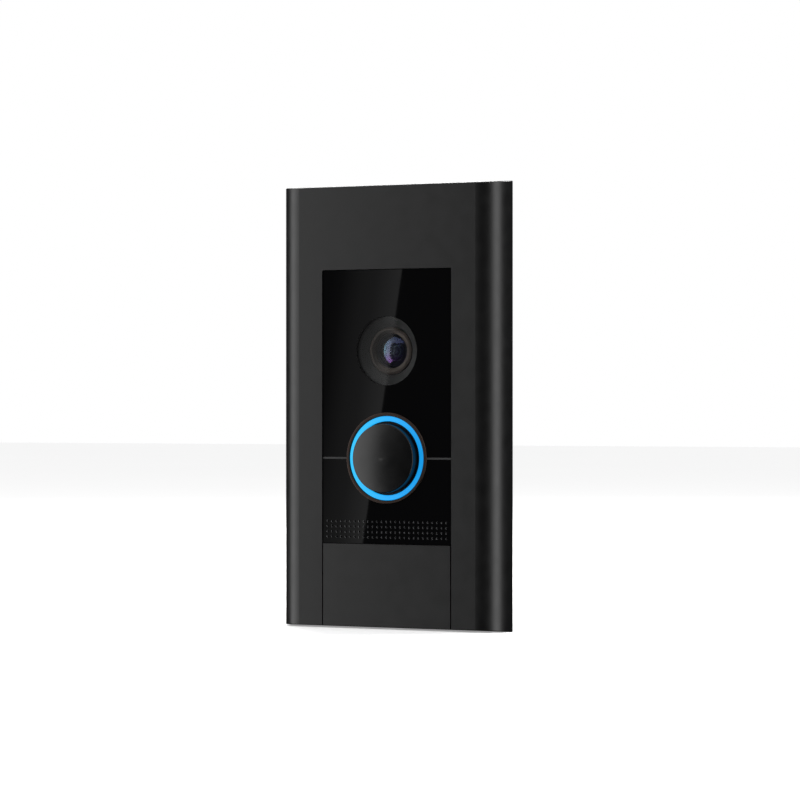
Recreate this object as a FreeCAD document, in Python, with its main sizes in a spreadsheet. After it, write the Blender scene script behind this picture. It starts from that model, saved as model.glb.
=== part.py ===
import FreeCAD, Part
import math
import os
import re
import Sketcher

# Video doorbell that recesses into a single-gang wall box.
# Millimetres. +X right, -Y towards the visitor, +Z up.
# The wall is the plane y = 0 and the wall screws are centred on the origin.

os.makedirs("parts", exist_ok=True)
doc = FreeCAD.newDocument("video_doorbell")

# ---------------------------------------------------------------- sizes

SIZES = [
    ("overall_depth", 55.1),
    ("face_width", 69.9),
    ("face_height", 121.9),
    ("face_depth", 7.7),
    ("face_draft", 0.54),
    ("face_corner", 7.4),
    ("face_wall", 2.0),
    ("edge_break", 0.3),
    ("window_width", 40.4),
    ("window_top", 37.5),
    ("window_drop", 37.6),
    ("seam_gap", 0.35),
    ("glass_recess", 0.35),
    ("glass_thick", 1.1),
    ("glass_gap", 0.2),
    ("tape_thick", 0.2),
    ("divider_height", 0.5),
    ("seal_thick", 0.8),
    ("flange_thick", 1.5),
    ("back_flange_thick", 1.4),
    ("flange_half_width", 29.8),
    ("flange_margin", 8.45),
    ("bracket_thick", 1.2),
    ("bracket_half_width", 28.0),
    ("bracket_margin", 6.95),
    ("wall_screw_pitch", 83.34),
    ("wall_screw_hole", 2.1),
    ("button_drop", 14.2),
    ("bezel_radius", 12.5),
    ("ring_outer", 11.5),
    ("ring_inner", 10.15),
    ("fit_gap", 0.04),
    ("cap_radius", 9.42),
    ("cap_rim_lift", 1.9),
    ("cap_crown_lift", 2.95),
    ("cap_wall", 1.0),
    ("button_travel", 0.6),
    ("camera_rise", 15.15),
    ("clear_radius", 9.45),
    ("lens_seat", 6.5),
    ("lens_radius", 4.6),
    ("lens_curve", 8.0),
    ("hole_pitch", 1.43),
    ("hole_radius", 0.33),
    ("hole_field_drop", 33.7),
    ("housing_width", 47.4),
    ("housing_top", 33.5),
    ("housing_drop", 36.5),
    ("housing_wall", 1.8),
    ("board_thick", 1.6),
    ("main_board_at", 9.5),
    ("power_board_at", 15.5),
    ("shelf_end", 21.5),
    ("spine_half_width", 10.4),
    ("post_radius", 1.9),
    ("reset_travel", 0.3),
]

# Levels are y values, so the ones in front of the wall are negative.
DERIVED = [
    ("half_width", "face_width / 2"),
    ("half_height", "face_height / 2"),
    ("half_window", "window_width / 2"),
    ("face_front", "-face_depth"),
    ("glass_front", "face_front + glass_recess"),
    ("glass_back", "glass_front + glass_thick"),
    ("island_front", "glass_back + tape_thick"),
    ("face_inner", "face_front + face_wall"),
    ("flange_front", "face_inner + seal_thick"),
    ("flange_back", "flange_front + flange_thick"),
    ("housing_back", "flange_back + back_flange_thick"),
    ("bracket_front", "-bracket_thick"),
    ("lip_front", "flange_front + 0.3"),
    ("lip_back", "lip_front + bracket_thick"),
    ("lock_screw_at", "flange_front + 1.7"),
    ("flange_half_height", "half_height - flange_margin"),
    ("bracket_half_height", "half_height - bracket_margin"),
    ("button_z", "-button_drop"),
    ("cap_rim", "face_front - cap_rim_lift"),
    ("cap_crown", "face_front - cap_crown_lift"),
    ("cap_sag", "cap_crown_lift - cap_rim_lift"),
    ("cap_dome", "(cap_radius ^ 2 + cap_sag ^ 2) / (2 * cap_sag)"),
    ("cap_ceiling", "cap_rim + 0.75"),
    ("cap_skirt", "flange_front - 0.1"),
    ("cap_end", "cap_skirt + 0.7"),
    ("ring_foot", "flange_back + 0.6"),
    ("ring_board_at", "ring_foot + 0.5"),
    ("ring_board_end", "ring_board_at + 1"),
    ("switch_front", "ring_board_at - 1.8"),
    ("plunger_front", "switch_front - button_travel - 0.2"),
    ("lens_seat_at", "island_front + 1.1"),
    ("barrel_front", "lens_seat_at + 0.95"),
    ("lens_crown", "lens_seat_at + 0.2"),
    ("lens_edge", "lens_crown + lens_curve - sqrt(lens_curve ^ 2 - lens_radius ^ 2)"),
    ("lens_back", "lens_edge + 0.7"),
    ("barrel_end", "barrel_front + 8.6"),
    ("sensor_board_at", "barrel_end + 1"),
    ("sensor_board_end", "sensor_board_at + 1"),
    ("main_board_end", "main_board_at + board_thick"),
    ("power_board_end", "power_board_at + board_thick"),
    ("reset_key_at", "power_board_end + reset_travel + 1.4"),
    ("rear_end", "overall_depth + cap_crown"),
    ("rear_inner", "rear_end - housing_wall"),
    ("shelf_inner", "shelf_end - housing_wall"),
    ("cavity_half_width", "housing_width / 2 - housing_wall"),
    ("cavity_top", "housing_top - housing_wall"),
    ("cavity_drop", "housing_drop - housing_wall"),
    ("field_half", "hole_pitch * 13 + 0.8"),
    ("field_low", "-hole_field_drop - hole_pitch * 1.5 - 0.6"),
    ("field_high", "-hole_field_drop + hole_pitch * 1.5 + 0.6"),
]

sheet = doc.addObject("Spreadsheet::Sheet", "Sizes")
for row, (alias, number) in enumerate(SIZES + DERIVED, start=1):
    sheet.set("A%d" % row, alias)
    sheet.setAlias("B%d" % row, alias)
for row, (alias, number) in enumerate(SIZES, start=1):
    sheet.set("B%d" % row, str(number))
for row, (alias, formula) in enumerate(DERIVED, start=len(SIZES) + 1):
    sheet.set("B%d" % row, "=" + formula)
doc.recompute()

EXPORTS = []


def value(formula):
    """Number that a formula of sheet names gives."""
    return float(sheet.evalExpression(formula))


def bind(thing, path, formula):
    """Drive one property by a formula of sheet names."""
    thing.setExpression(path, re.sub(r"[a-z][a-z_]+", r"Sizes.\g<0>", formula))


def new_body(name, export=True):
    body = doc.addObject("PartDesign::Body", name)
    body.Label = name
    body.AllowCompound = True
    if export:
        EXPORTS.append(body)
    return body


def place(body, x="0", y="0", z="0"):
    for axis, formula in (("x", x), ("y", y), ("z", z)):
        bind(body, "Placement.Base." + axis, formula)


def sketch_on(body, role, offset="0"):
    """Sketch on one of the body's own origin planes, moved along its normal."""
    sketch = body.newObject("Sketcher::SketchObject", body.Name + "_sketch")
    planes = [item for item in body.Origin.OriginFeatures if item.Role == role]
    sketch.AttachmentSupport = [(planes[0], "")]
    sketch.MapMode = "FlatFace"
    bind(sketch, "AttachmentOffset.Base.z", offset)
    return sketch


def pin_point(sketch, edge, end, u, v):
    """Fix a sketch point at (u, v), both given as formulas."""
    for kind, axis, formula in (("DistanceX", -2, u), ("DistanceY", -1, v)):
        if formula == "0":
            sketch.addConstraint(Sketcher.Constraint("PointOnObject", edge, end, axis))
            continue
        number = value(formula)
        index = sketch.addConstraint(Sketcher.Constraint(kind, -1, 1, edge, end, number))
        sketch.renameConstraint(index, "at_%d" % index)
        bind(sketch, "Constraints.at_%d" % index, formula)


def pin_radius(sketch, edge, formula):
    index = sketch.addConstraint(Sketcher.Constraint("Radius", edge, value(formula)))
    sketch.renameConstraint(index, "radius_%d" % index)
    bind(sketch, "Constraints.radius_%d" % index, formula)


def disc(sketch, u, v, radius):
    centre = FreeCAD.Vector(value(u), value(v), 0)
    round_edge = Part.Circle(centre, FreeCAD.Vector(0, 0, 1), value(radius))
    edge = sketch.addGeometry(round_edge)
    pin_radius(sketch, edge, radius)
    pin_point(sketch, edge, 3, u, v)


def outline(sketch, corners):
    """Closed outline, counter-clockwise. A third entry bends the next edge outwards."""
    points = [FreeCAD.Vector(value(item[0]), value(item[1]), 0) for item in corners]
    edges = []
    for index, item in enumerate(corners):
        start = points[index]
        finish = points[(index + 1) % len(points)]
        if len(item) == 2:
            edges.append(sketch.addGeometry(Part.LineSegment(start, finish)))
            continue
        radius = value(item[2])
        chord = finish.sub(start)
        rise = math.sqrt(radius ** 2 - (chord.Length / 2) ** 2)
        side = FreeCAD.Vector(-chord.y, chord.x, 0).normalize()
        centre = start.add(finish).multiply(0.5).add(side.multiply(rise))
        circle = Part.Circle(centre, FreeCAD.Vector(0, 0, 1), radius)
        first = math.atan2(start.y - centre.y, start.x - centre.x)
        last = math.atan2(finish.y - centre.y, finish.x - centre.x)
        edges.append(sketch.addGeometry(Part.ArcOfCircle(circle, first, last)))
        pin_radius(sketch, edges[-1], item[2])
    for index, edge in enumerate(edges):
        following = edges[(index + 1) % len(edges)]
        sketch.addConstraint(Sketcher.Constraint("Coincident", edge, 2, following, 1))
        pin_point(sketch, edge, 1, corners[index][0], corners[index][1])


def box(sketch, left, right, low, high):
    outline(sketch, [(left, low), (right, low), (right, high), (left, high)])


def draw(sketch, shapes):
    for shape in shapes:
        kind, numbers = shape[0], shape[1:]
        if kind == "disc":
            disc(sketch, *numbers)
        elif kind == "box":
            box(sketch, *numbers)
        else:
            outline(sketch, numbers[0])


def layer(body, front, back, *shapes):
    """Material between two y levels."""
    sketch = sketch_on(body, "XZ_Plane", "-(" + front + ")")
    draw(sketch, shapes)
    pad = body.newObject("PartDesign::Pad", body.Name + "_pad")
    pad.Profile = sketch
    pad.Reversed = True
    bind(pad, "Length", "(" + back + ") - (" + front + ")")
    body.Tip = pad
    return pad


def cutout(body, front, back, *shapes):
    """Space cut between two y levels."""
    sketch = sketch_on(body, "XZ_Plane", "-(" + front + ")")
    draw(sketch, shapes)
    pocket = body.newObject("PartDesign::Pocket", body.Name + "_pocket")
    pocket.Profile = sketch
    bind(pocket, "Length", "(" + back + ") - (" + front + ")")
    body.Tip = pocket
    return pocket


def long_cut(body, low, high, *shapes):
    """Space cut between two z levels, from an (x, y) sketch."""
    sketch = sketch_on(body, "XY_Plane", high)
    draw(sketch, shapes)
    pocket = body.newObject("PartDesign::Pocket", body.Name + "_long")
    pocket.Profile = sketch
    bind(pocket, "Length", "(" + high + ") - (" + low + ")")
    body.Tip = pocket
    return pocket


def side_pad(body, left, right, corners):
    """Material of one (y, z) outline between two x levels."""
    sketch = sketch_on(body, "YZ_Plane", left)
    outline(sketch, corners)
    pad = body.newObject("PartDesign::Pad", body.Name + "_side")
    pad.Profile = sketch
    bind(pad, "Length", "(" + right + ") - (" + left + ")")
    body.Tip = pad
    return pad


def turned(body, corners, kind="Revolution"):
    """Full turn of a (radius, y) outline about the body's own Y axis."""
    sketch = sketch_on(body, "XY_Plane")
    outline(sketch, corners)
    feature = body.newObject("PartDesign::" + kind, body.Name + "_turn")
    feature.Profile = sketch
    feature.ReferenceAxis = (sketch, ["V_Axis"])
    feature.Angle = 360
    body.Tip = feature
    return feature


def dress(body, kind, size, test):
    """Fillet or chamfer on the edges whose middle point passes the test."""
    doc.recompute()
    base = body.Tip
    names = []
    for index, edge in enumerate(base.Shape.Edges):
        if test(edge.CenterOfMass, edge):
            names.append("Edge%d" % (index + 1))
    if not names:
        raise RuntimeError("no edge to dress on " + body.Name)
    feature = body.newObject("PartDesign::" + kind, body.Name + "_edges")
    feature.Base = (base, names)
    bind(feature, "Radius" if kind == "Fillet" else "Size", size)
    body.Tip = feature
    return feature


def close(first, second):
    return abs(first - second) < 0.02


def repeat(name, body, spots, turn=0):
    """One node made of the same piece at several spots."""
    links = []
    for x, y, z in spots:
        link = doc.addObject("App::Link", name + "_copy")
        link.LinkedObject = body
        link.LinkTransform = False
        axis = FreeCAD.Vector(0, 0, 1)
        link.Placement = FreeCAD.Placement(FreeCAD.Vector(), FreeCAD.Rotation(axis, turn))
        place(link, x, y, z)
        links.append(link)
    group = doc.addObject("Part::Compound", name)
    group.Label = name
    group.Links = links
    EXPORTS.append(group)
    return group


def spots_at(y, *pairs):
    return [(x, y, z) for x, z in pairs]


def corners_of(half_x, high, low):
    """Four (x, z) spots, mirrored about x = 0."""
    return [(half_x, high), ("-(" + half_x + ")", high), (half_x, low), ("-(" + half_x + ")", low)]


# Spots shared by several pieces
HOUSING_SPOTS = corners_of("26.2", "38", "-38") + [("26.2", "-1.5"), ("-26.2", "-1.5")]
BODY_SPOTS = corners_of("24", "47.5", "-47.5")
WALL_SPOTS = [("0", "wall_screw_pitch / 2"), ("0", "-wall_screw_pitch / 2")]
POST_SPOTS = corners_of("18.9", "27", "-22")
RING_SPOTS = corners_of("14.6", "button_z + 10.8", "button_z - 10.8")
CAMERA_SPOTS = corners_of("12.5", "camera_rise + 10", "camera_rise - 10")
LAMP_SPOTS = [("14.6", "camera_rise"), ("-14.6", "camera_rise")]


def discs(spots, radius):
    return [("disc", x, z, radius) for x, z in spots]


# ---------------------------------------------------------------- front shell

faceplate = new_body("faceplate")
side_pad(faceplate, "-half_width", "half_width", [
    ("face_front", "face_draft - half_height"),
    ("0", "-half_height"),
    ("0", "half_height"),
    ("face_front", "half_height - face_draft"),
])
dress(faceplate, "Fillet", "face_corner", lambda p, e: close(p.y, value("face_front"))
      and close(abs(p.x), value("half_width")))
INNER_CORNER = "face_corner - face_wall"
long_cut(faceplate, "face_wall - half_height", "half_height - face_wall", ("outline", [
    ("half_width - face_corner", "face_inner", INNER_CORNER),
    ("half_width - face_wall", "face_inner + " + INNER_CORNER),
    ("half_width - face_wall", "0.5"),
    ("face_wall - half_width", "0.5"),
    ("face_wall - half_width", "face_inner + " + INNER_CORNER, INNER_CORNER),
    ("face_corner - half_width", "face_inner"),
]))
cutout(faceplate, "face_front - 1", "0.5", ("box", "-half_window", "half_window",
                                           "-half_height - 1", "face_wall - half_height + 0.01"))
cutout(faceplate, "face_front - 1", "face_inner + 0.5", ("box", "-half_window", "half_window",
                                                       "-half_height - 1", "window_top"))
dress(faceplate, "Fillet", "0.5", lambda p, e: close(p.z, value("window_top"))
      and close(abs(p.x), value("half_window")) and e.Length < 3)
dress(faceplate, "Fillet", "edge_break", lambda p, e: close(p.y, value("face_front"))
      and close(abs(p.z), value("half_height - face_draft")))
# pads that rest on the frame, side guides, and the hook behind the bracket's top lip
for sign in ("", "-"):
    for low in ("-49", "-14", "18", "42"):
        near, far = ("26.6", "30.2") if sign == "" else ("-30.2", "-26.6")
        layer(faceplate, "face_inner - 0.2", "flange_front", ("box", near, far, low, low + " + 6"))
    for low in ("-30", "24"):
        near, far = ("flange_half_width + 0.1", "half_width - 1.2")
        if sign == "-":
            near, far = ("1.2 - half_width", "-flange_half_width - 0.1")
        layer(faceplate, "flange_back - 0.3", "housing_back - 0.2", ("box", near, far, low, low + " + 8"))
layer(faceplate, "lip_back + 0.1", "lip_back + 1.3", ("box", "-8", "8", "bracket_half_height + 1.5",
                                                     "half_height - face_wall + 0.5"))

lower_trim_panel = new_body("lower_trim_panel")
side_pad(lower_trim_panel, "seam_gap - half_window", "half_window - seam_gap", [
    ("face_front", "face_draft - half_height"),
    ("0", "-half_height"),
    ("0", "face_wall - half_height"),
    ("face_inner", "face_wall - half_height"),
    ("face_inner", "-window_drop - 0.15"),
    ("face_front", "-window_drop - 0.15"),
])
layer(lower_trim_panel, "face_inner", "flange_front", ("box", "-24.5", "24.5",
                                                       "3.5 - half_height", "-window_drop - 3.2"))
long_cut(lower_trim_panel, "-half_height - 1", "face_wall - half_height + 0.2",
         ("disc", "0", "lock_screw_at", "1.65"))
long_cut(lower_trim_panel, "-half_height - 1", "1.1 - half_height", ("disc", "0", "lock_screw_at", "2.95"))
dress(lower_trim_panel, "Fillet", "edge_break", lambda p, e: close(p.y, value("face_front"))
      and close(p.z, value("face_draft - half_height")))

BUTTON_CLEAR = "bezel_radius + 0.05"
camera_window = new_body("camera_window")
layer(camera_window, "glass_front", "glass_back", ("box", "glass_gap - half_window",
      "half_window - glass_gap", "button_z + divider_height / 2", "window_top - glass_gap"))
cutout(camera_window, "glass_front - 1", "glass_back + 1", ("disc", "0", "button_z", BUTTON_CLEAR))
dress(camera_window, "Fillet", "0.4", lambda p, e: close(p.z, value("window_top - glass_gap"))
      and close(e.Length, value("glass_thick")))

speaker_panel = new_body("speaker_panel")
layer(speaker_panel, "glass_front", "glass_back", ("box", "glass_gap - half_window",
      "half_window - glass_gap", "-window_drop", "button_z - divider_height / 2"))
cutout(speaker_panel, "glass_front - 1", "glass_back + 1", ("disc", "0", "button_z", BUTTON_CLEAR))
FIRST_HOLES = [("disc", "-13 * hole_pitch", "-hole_field_drop + hole_pitch * (%s)" % step, "hole_radius")
               for step in ("-1.5", "-0.5", "0.5", "1.5")]
first_column = cutout(speaker_panel, "glass_front - 1", "glass_back + 1", *FIRST_HOLES)
columns = speaker_panel.newObject("PartDesign::LinearPattern", "hole_columns")
columns.Originals = [first_column]
columns.Direction = (first_column.Profile[0], ["H_Axis"])
bind(columns, "Length", "26 * hole_pitch")
columns.Occurrences = 27
speaker_panel.Tip = columns

divider_strips = new_body("divider_strips")
layer(divider_strips, "glass_front - 0.05", "glass_back",
      ("box", "bezel_radius + 0.1", "half_window - glass_gap",
       "button_z - divider_height / 2", "button_z + divider_height / 2"),
      ("box", "glass_gap - half_window", "-bezel_radius - 0.1",
       "button_z - divider_height / 2", "button_z + divider_height / 2"))

window_tape = new_body("window_tape")
layer(window_tape, "glass_back", "island_front",
      ("box", "0.4 - half_window", "half_window - 0.4", "0.4 - window_drop", "window_top - 0.4"),
      ("disc", "0", "camera_rise", "clear_radius + 0.3"),
      ("disc", "0", "button_z", "bezel_radius + 0.1"),
      ("box", "-field_half", "field_half", "field_low", "field_high"),
      *discs(LAMP_SPOTS, "2.4"))

speaker_mesh = new_body("speaker_mesh")
layer(speaker_mesh, "island_front", "island_front + 0.25",
      ("box", "-field_half", "field_half", "field_low", "field_high"))

# ---------------------------------------------------------------- frame behind the glass

chassis = new_body("chassis")
layer(chassis, "flange_front", "flange_back", ("box", "-flange_half_width", "flange_half_width",
      "-flange_half_height", "flange_half_height"))
dress(chassis, "Fillet", "3", lambda p, e: close(abs(p.x), value("flange_half_width"))
      and close(abs(p.z), value("flange_half_height")))
layer(chassis, "island_front", "flange_front + 0.2", ("box", "0.4 - half_window", "half_window - 0.4",
      "0.2 - window_drop", "window_top - 0.3"))
layer(chassis, "flange_front - 0.6", "flange_front + 0.2", *discs(HOUSING_SPOTS, "2.4"))
layer(chassis, "flange_back - 0.2", "ring_board_at", *discs(RING_SPOTS, "1.8"))
layer(chassis, "flange_back - 0.2", "sensor_board_at", *discs(CAMERA_SPOTS, "1.8"))
layer(chassis, "flange_back - 0.2", "main_board_at", *discs(POST_SPOTS, "post_radius"))
cutout(chassis, "island_front - 1", "flange_back + 1",
       ("disc", "0", "camera_rise", "clear_radius + 0.6"),
       ("disc", "0", "button_z", "ring_outer + fit_gap"),
       ("box", "-18.9", "10.2", "-36.2", "-31.4"),
       ("box", "12.8", "15.8", "-34", "-31.4"),
       *discs(LAMP_SPOTS, "2"))
cutout(chassis, "island_front - 1", "island_front + 0.25",
       ("box", "-field_half - 0.1", "field_half + 0.1", "field_low - 0.1", "field_high + 0.1"))
cutout(chassis, "flange_front - 1", "flange_back + 1", *discs(BODY_SPOTS, "1.65"))
cutout(chassis, "flange_front - 0.3", "flange_back + 1", *discs(HOUSING_SPOTS, "0.8"))
cutout(chassis, "flange_front", "ring_board_at + 1", *discs(RING_SPOTS, "0.65"))
cutout(chassis, "sensor_board_at - 5", "sensor_board_at + 1", *discs(CAMERA_SPOTS, "0.65"))
cutout(chassis, "main_board_at - 6", "main_board_at + 1", *discs(POST_SPOTS, "0.95"))
dress(chassis, "Chamfer", "1.3", lambda p, e: close(p.y, value("flange_front"))
      and close(e.Length, 2 * math.pi * 1.65))

faceplate_seal = new_body("faceplate_seal")
layer(faceplate_seal, "face_inner", "flange_front",
      ("box", "-half_window - 3.3", "half_window + 3.3", "-window_drop - 2.8", "window_top + 3.6"),
      ("box", "-half_window - 0.3", "half_window + 0.3", "-window_drop - 0.4", "window_top + 0.6"))

# ---------------------------------------------------------------- button group

button_bezel = new_body("button_bezel")
turned(button_bezel, [
    ("ring_outer + fit_gap", "glass_front - 0.25"),
    ("bezel_radius", "glass_front - 0.25"),
    ("bezel_radius", "island_front"),
    ("ring_outer + fit_gap", "island_front"),
])
place(button_bezel, z="button_z")
dress(button_bezel, "Fillet", "0.2", lambda p, e: close(p.y, value("glass_front - 0.25")))

light_ring = new_body("light_ring")
turned(light_ring, [
    ("ring_inner", "glass_front"),
    ("ring_outer", "glass_front"),
    ("ring_outer", "flange_back"),
    ("ring_outer + 1.3", "flange_back"),
    ("ring_outer + 1.3", "ring_foot"),
    ("ring_inner", "ring_foot"),
])
place(light_ring, z="button_z")
dress(light_ring, "Fillet", "0.12", lambda p, e: close(p.y, value("glass_front")))

button_guide = new_body("button_guide")
turned(button_guide, [
    ("cap_radius + 0.08", "glass_front + 0.6"),
    ("ring_inner - fit_gap", "glass_front + 0.6"),
    ("ring_inner - fit_gap", "cap_skirt"),
    ("cap_radius + 0.08", "cap_skirt"),
])
place(button_guide, z="button_z")

button_cap = new_body("button_cap")
turned(button_cap, [
    ("0", "cap_crown", "cap_dome"),
    ("cap_radius", "cap_rim"),
    ("cap_radius", "cap_skirt"),
    ("ring_inner - 0.1", "cap_skirt"),
    ("ring_inner - 0.1", "cap_end"),
    ("cap_radius - cap_wall", "cap_end"),
    ("cap_radius - cap_wall", "cap_ceiling"),
    ("1.6", "cap_ceiling"),
    ("1.6", "plunger_front"),
    ("0", "plunger_front"),
])
place(button_cap, z="button_z")
dress(button_cap, "Fillet", "0.25", lambda p, e: close(p.y, value("cap_rim")))

button_spring = new_body("button_spring")
wire_sketch = sketch_on(button_spring, "XY_Plane")
disc(wire_sketch, "5.6", "cap_ceiling + 0.28", "0.28")
coil = button_spring.newObject("PartDesign::AdditiveHelix", "coil")
coil.Profile = wire_sketch
coil.ReferenceAxis = (wire_sketch, ["V_Axis"])
coil.Mode = "height-turns-angle"
bind(coil, "Height", "ring_board_at - cap_ceiling - 0.56")
coil.Turns = 4
button_spring.Tip = coil
place(button_spring, z="button_z")

button_switch_body = new_body("button_switch_body")
layer(button_switch_body, "switch_front", "ring_board_at", ("box", "-3", "3", "-3", "3"))
cutout(button_switch_body, "switch_front - 1", "ring_board_at - 0.2", ("disc", "0", "0", "1.25"))
dress(button_switch_body, "Chamfer", "0.4", lambda p, e: close(abs(p.x), 3) and close(abs(p.z), 3))
place(button_switch_body, z="button_z")

button_switch_plunger = new_body("button_switch_plunger")
turned(button_switch_plunger, [
    ("0", "plunger_front"),
    ("1.2", "plunger_front"),
    ("1.2", "ring_board_at - 0.9"),
    ("0", "ring_board_at - 0.9"),
])
place(button_switch_plunger, z="button_z")

ring_board = new_body("ring_board")
layer(ring_board, "ring_board_at", "ring_board_end",
      ("outline", [
          ("-16.2", "button_z - 13"), ("11.7", "button_z - 13"), ("11.7", "0.2 - cavity_drop"),
          ("16.2", "0.2 - cavity_drop"), ("16.2", "button_z + 13"), ("-16.2", "button_z + 13"),
      ]),
      ("disc", "14.2", "-32.5", "0.5"),
      *discs(RING_SPOTS, "0.85"))

ring_leds = new_body("ring_leds")
first_led = layer(ring_leds, "ring_foot", "ring_board_at", ("box", "9.95", "11.55", "-0.5", "0.5"))
led_ring = ring_leds.newObject("PartDesign::PolarPattern", "led_ring")
led_ring.Originals = [first_led]
led_ring.Axis = (first_led.Profile[0], ["N_Axis"])
led_ring.Angle = 360
led_ring.Occurrences = 12
ring_leds.Tip = led_ring
place(ring_leds, z="button_z")

# ---------------------------------------------------------------- camera

camera_funnel = new_body("camera_funnel")
turned(camera_funnel, [
    ("clear_radius", "island_front"),
    ("clear_radius + 0.5", "island_front"),
    ("clear_radius + 0.5", "flange_back"),
    ("clear_radius + 1.9", "flange_back"),
    ("clear_radius + 1.9", "flange_back + 1"),
    ("lens_seat + 0.15", "flange_back + 1"),
    ("lens_seat + 0.15", "lens_seat_at + 0.15"),
])
place(camera_funnel, z="camera_rise")

lens_bezel = new_body("lens_bezel")
turned(lens_bezel, [
    ("lens_radius + 0.2", "lens_seat_at + 0.45"),
    ("lens_seat - 0.7", "lens_seat_at"),
    ("lens_seat", "lens_seat_at"),
    ("lens_seat", "barrel_front"),
    ("lens_radius + 0.2", "barrel_front"),
])
place(lens_bezel, z="camera_rise")

lens_barrel = new_body("lens_barrel")
turned(lens_barrel, [
    ("lens_radius + 0.04", "barrel_front"),
    ("6", "barrel_front"),
    ("6", "barrel_end"),
    ("3.6", "barrel_end"),
    ("3.6", "lens_back + 2.6"),
    ("1.2", "lens_back + 2.6"),
    ("1.2", "lens_back + 2.2"),
    ("2.7", "lens_back + 2.2"),
    ("2.7", "lens_back"),
    ("lens_radius + 0.04", "lens_back"),
])
place(lens_barrel, z="camera_rise")

front_lens = new_body("front_lens")
turned(front_lens, [
    ("0", "lens_crown", "lens_curve"),
    ("lens_radius", "lens_edge"),
    ("lens_radius", "lens_back"),
    ("0", "lens_back"),
])
place(front_lens, z="camera_rise")

middle_lens = new_body("middle_lens")
turned(middle_lens, [
    ("0", "lens_back + 0.4", "5"),
    ("2.66", "lens_back + 1.2"),
    ("2.66", "lens_back + 2.2"),
    ("0", "lens_back + 2.2"),
])
place(middle_lens, z="camera_rise")

ir_filter = new_body("ir_filter")
layer(ir_filter, "barrel_end", "barrel_end + 0.3", ("disc", "0", "0", "4.6"))
place(ir_filter, z="camera_rise")

image_sensor = new_body("image_sensor")
layer(image_sensor, "sensor_board_at - 0.6", "sensor_board_at", ("box", "-3.6", "3.6", "-3", "3"))
place(image_sensor, z="camera_rise")

lens_holder = new_body("lens_holder")
layer(lens_holder, "barrel_end - 4", "sensor_board_at", ("box", "-7.2", "7.2", "-7.2", "7.2"),
      ("disc", "0", "0", "6.04"))
dress(lens_holder, "Fillet", "1", lambda p, e: close(abs(p.x), 7.2) and close(abs(p.z), 7.2))
place(lens_holder, z="camera_rise")

sensor_board = new_body("sensor_board")
layer(sensor_board, "sensor_board_at", "sensor_board_end",
      ("box", "-14.8", "14.8", "camera_rise - 12", "camera_rise + 12"),
      *discs(CAMERA_SPOTS, "0.85"))

sensor_connector = new_body("sensor_connector")
layer(sensor_connector, "sensor_board_end", "main_board_at",
      ("box", "-5", "5", "camera_rise - 6", "camera_rise - 3.4"))

front_board = new_body("front_board")
layer(front_board, "flange_back", "flange_back + 1",
      ("box", "-16.8", "16.8", "camera_rise - 13.6", "camera_rise + 15.2"),
      ("disc", "0", "camera_rise", "clear_radius + 2.2"),
      *discs(CAMERA_SPOTS, "1.95"))

ir_lamp = new_body("ir_lamp", export=False)
turned(ir_lamp, [
    ("0", "-1.7", "2"),
    ("1.6", "-1.1"),
    ("1.6", "0"),
    ("0", "0"),
])
ir_leds = repeat("ir_leds", ir_lamp, spots_at("flange_back", *LAMP_SPOTS))

# ---------------------------------------------------------------- sound

acoustic_gasket = new_body("acoustic_gasket")
layer(acoustic_gasket, "flange_back", "ring_foot",
      ("box", "-19.3", "16.2", "0.2 - cavity_drop", "-27.6"),
      ("box", "-17.5", "9", "-33.6", "-28.6"),
      ("disc", "14.2", "-32.5", "0.9"))
layer(acoustic_gasket, "ring_foot - 0.2", "ring_board_at",
      ("box", "12", "16.1", "0.3 - cavity_drop", "-30"),
      ("disc", "14.2", "-32.5", "0.9"))

microphone = new_body("microphone")
layer(microphone, "ring_board_end", "ring_board_end + 1", ("box", "12.6", "15.8", "-34", "-31"))

speaker_frame = new_body("speaker_frame")
layer(speaker_frame, "ring_foot", "ring_foot + 4.4", ("box", "-19.3", "10.7", "0.2 - cavity_drop", "-27.6"))
cutout(speaker_frame, "ring_foot - 1", "ring_foot + 0.9", ("box", "-18.5", "9.9", "-33.8", "-28.3"))
cutout(speaker_frame, "ring_foot", "ring_foot + 3.6", ("box", "-16.8", "8.2", "-33.2", "-28.9"))

speaker_diaphragm = new_body("speaker_diaphragm")
layer(speaker_diaphragm, "ring_foot + 0.65", "ring_foot + 0.9", ("box", "-18.4", "9.8", "-33.7", "-28.4"))
layer(speaker_diaphragm, "ring_foot + 0.3", "ring_foot + 0.8", ("box", "-14.8", "6.2", "-32.7", "-29.4"))
dress(speaker_diaphragm, "Chamfer", "0.3", lambda p, e: close(p.y, value("ring_foot + 0.3")))

speaker_magnet = new_body("speaker_magnet")
layer(speaker_magnet, "ring_foot + 1.8", "ring_foot + 3.6", ("box", "-12.5", "3.9", "-32.8", "-29.3"))

# ---------------------------------------------------------------- wall side

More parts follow.
